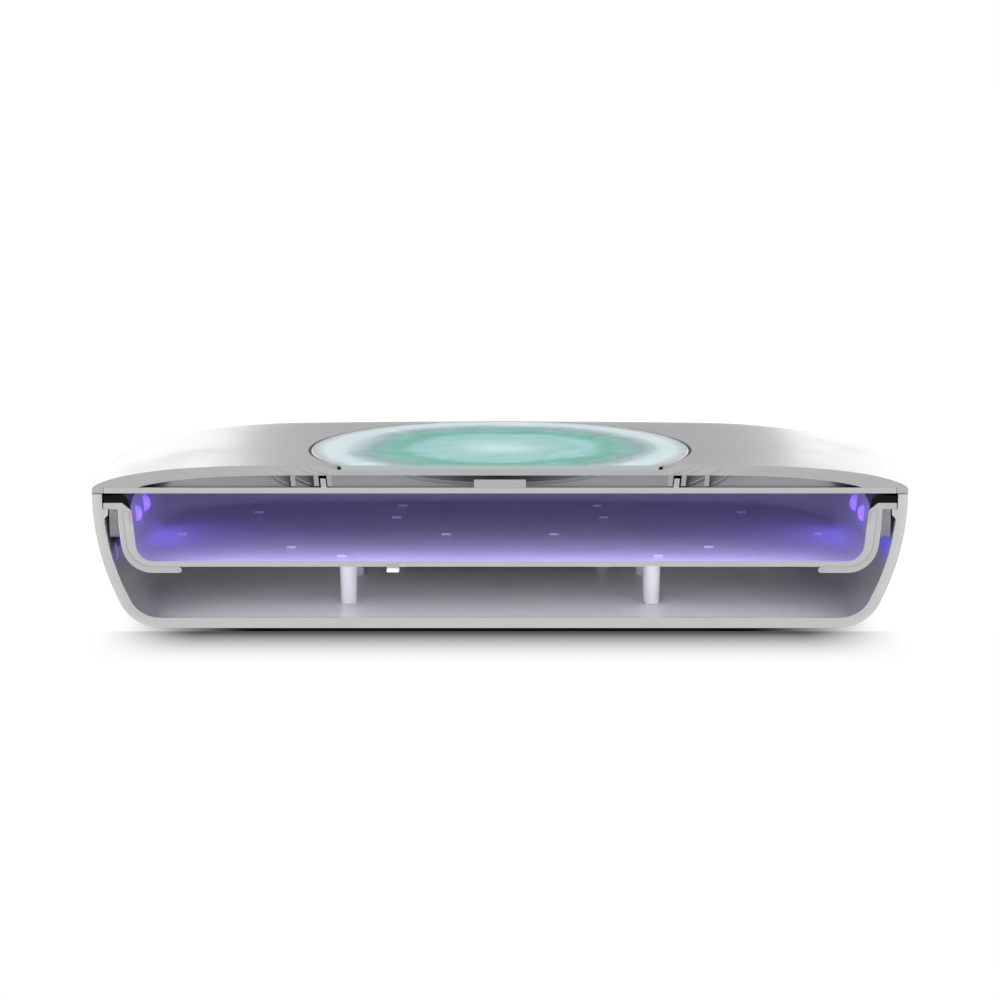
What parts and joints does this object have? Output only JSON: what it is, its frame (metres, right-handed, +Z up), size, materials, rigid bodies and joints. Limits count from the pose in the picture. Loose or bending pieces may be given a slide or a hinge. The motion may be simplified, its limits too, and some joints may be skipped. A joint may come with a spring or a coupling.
{
  "type": "uv sanitizer box",
  "caption": "White rounded desk box with a hinged domed lid over an ultraviolet chamber, a round wireless charging pad on the lid and a push button in front.",
  "frame": {"origin": "middle of the whole box, hinge included, on the table that the rubber feet rest on", "axes": "+X to the right along the length, +Y to the rear where the hinge is, +Z up"},
  "size_m": [0.206, 0.1342, 0.0403],
  "materials": {
    "case_plastic": "satin white ABS with a faint texture",
    "frame_plastic": "light grey moulded plastic",
    "panel_plastic": "light grey moulded plastic",
    "chamber_plastic": "white reflective liner, satin",
    "seal_rubber": "matt black silicone",
    "carrier_plastic": "mid grey moulded plastic",
    "circuit_board": "green solder mask over fibreglass",
    "led_package": "ceramic package with a yellow lens",
    "quartz": "clear quartz",
    "ribbon": "white flat cable",
    "chip_plastic": "black moulded packages",
    "inlet_steel": "drawn steel shell",
    "clear_plastic": "frosted light pipe",
    "foot_rubber": "dark grey silicone",
    "screw_steel": "zinc plated steel",
    "pin_steel": "ground steel",
    "magnet_nickel": "nickel plated magnet",
    "pad_surface": "soft-touch light grey, lit teal from below while charging",
    "ferrite": "dark grey sintered ferrite",
    "copper_winding": "enamelled copper wire",
    "button_plastic": "satin light grey"
  },
  "bodies": {
    "base": {"bottom_case": "case_plastic", "mid_frame": "frame_plastic", "chamber_tray": "chamber_plastic", "light_seal": "seal_rubber", "led_carrier_left": "carrier_plastic", "led_carrier_right": "carrier_plastic", "uv_led_board_left": "circuit_board", "uv_led_board_right": "circuit_board", "uv_leds": "led_package", "uv_windows": "quartz", "led_ribbon_left": "ribbon", "led_ribbon_right": "ribbon", "button_ribbon": "ribbon", "main_board": "circuit_board", "board_components": "chip_plastic", "charging_inlet": "inlet_steel", "button_board": "circuit_board", "button_switch": "chip_plastic", "status_led": "led_package", "status_light_pipe": "clear_plastic", "rubber_feet": "foot_rubber", "case_screws": "screw_steel", "board_screws": "screw_steel", "hinge_pins": "pin_steel", "base_magnets": "magnet_nickel", "lid_sensor": "circuit_board"},
    "lid": {"lid_shell": "case_plastic", "lid_panel": "panel_plastic", "charge_pad": "pad_surface", "pad_gasket": "seal_rubber", "coil_carrier": "panel_plastic", "coil_ferrite": "ferrite", "charging_coil": "copper_winding", "lid_board": "circuit_board", "lid_spacer": "panel_plastic", "lid_magnets": "magnet_nickel", "lid_screws": "screw_steel"},
    "button": {"power_button": "button_plastic", "switch_plunger": "chip_plastic"}
  },
  "joints": [
    {"name": "lid_hinge", "type": "hinge", "parent": "base", "child": "lid", "pos_m": [0, 0.0652, 0.03355], "axis": [-1, 0, 0], "range_deg": [0, 100]},
    {"name": "power_button", "type": "slide", "parent": "base", "child": "button", "axis": [0, 1, 0], "range_m": [0, 0.0007], "stiffness_N_per_m": 600, "springref_m": -0.0003}
  ]
}
